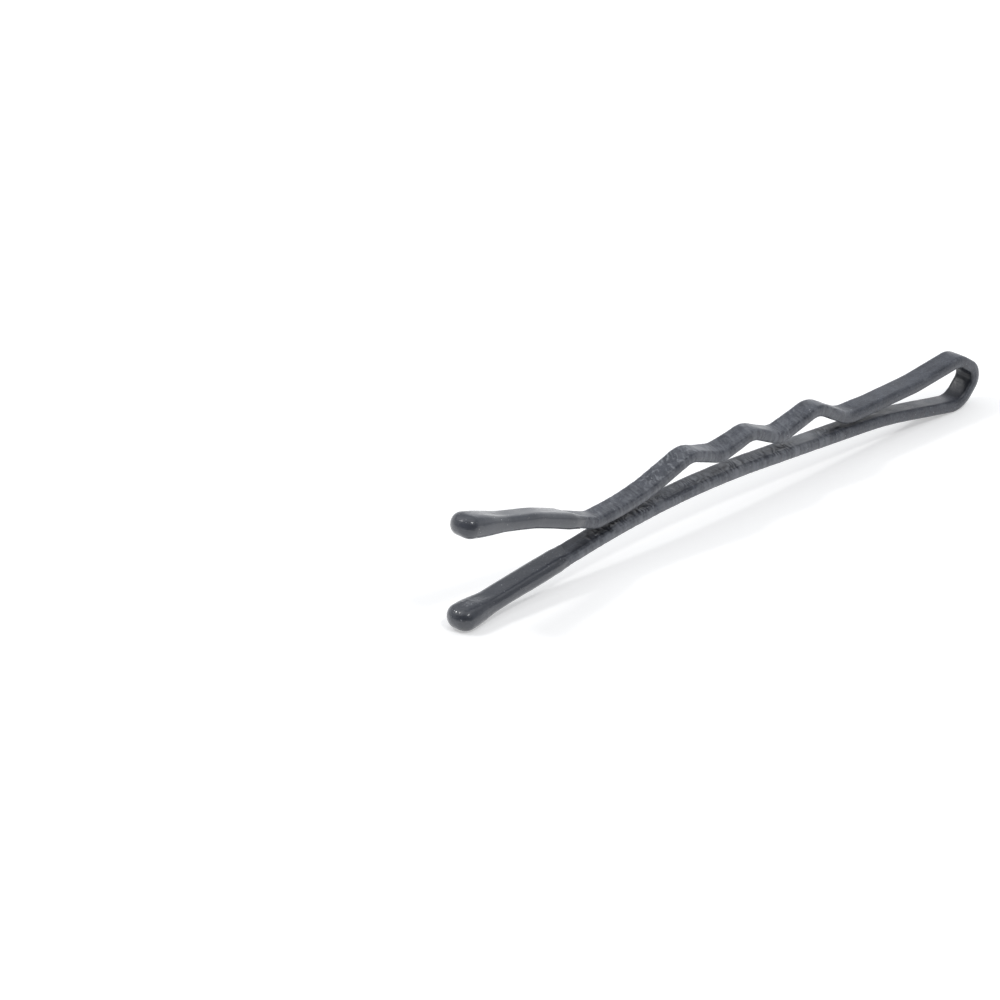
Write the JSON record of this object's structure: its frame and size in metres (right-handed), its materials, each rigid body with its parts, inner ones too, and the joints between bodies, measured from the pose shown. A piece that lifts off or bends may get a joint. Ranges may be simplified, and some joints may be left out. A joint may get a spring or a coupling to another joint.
{
  "type": "bobby pin",
  "caption": "Crimped hair pin of flat black-lacquered spring wire: a straight leg, a wavy leg over it, a teardrop loop and dipped round tips.",
  "frame": {"origin": "middle of the pin's length and width, on the level that the pin stands on: the underside of the straight leg's bead and of the loop", "axes": "+X from the tips to the loop, +Y across the strip, +Z from the straight leg to the crimped leg"},
  "size_m": [0.05, 0.0022, 0.0079],
  "materials": {
    "spring_steel": "bright rolled spring steel, hidden under the lacquer",
    "black_lacquer": "baked black lacquer, satin, finely pitted and wrinkled",
    "dipped_tip": "black dip, smooth and glossier than the lacquer"
  },
  "bodies": {
    "straight_leg": {"straight_leg_wire": "spring_steel", "straight_leg_coat": "black_lacquer", "straight_leg_tip": "dipped_tip"},
    "loop": {"loop_wire": "spring_steel", "loop_coat": "black_lacquer"},
    "crimped_leg": {"crimped_leg_wire": "spring_steel", "crimped_leg_coat": "black_lacquer", "crimped_leg_tip": "dipped_tip"}
  },
  "joints": [
    {"name": "straight_leg_flex", "type": "hinge", "parent": "straight_leg", "child": "loop", "pos_m": [0.02, 0, 0.00087], "axis": [0, 1, 0], "range_deg": [0, 10], "stiffness_Nm_per_rad": 0.49},
    {"name": "crimped_leg_flex", "type": "hinge", "parent": "loop", "child": "crimped_leg", "pos_m": [0.02, 0, 0.00325], "axis": [0, 1, 0], "range_deg": [0, 10], "stiffness_Nm_per_rad": 0.49}
  ]
}
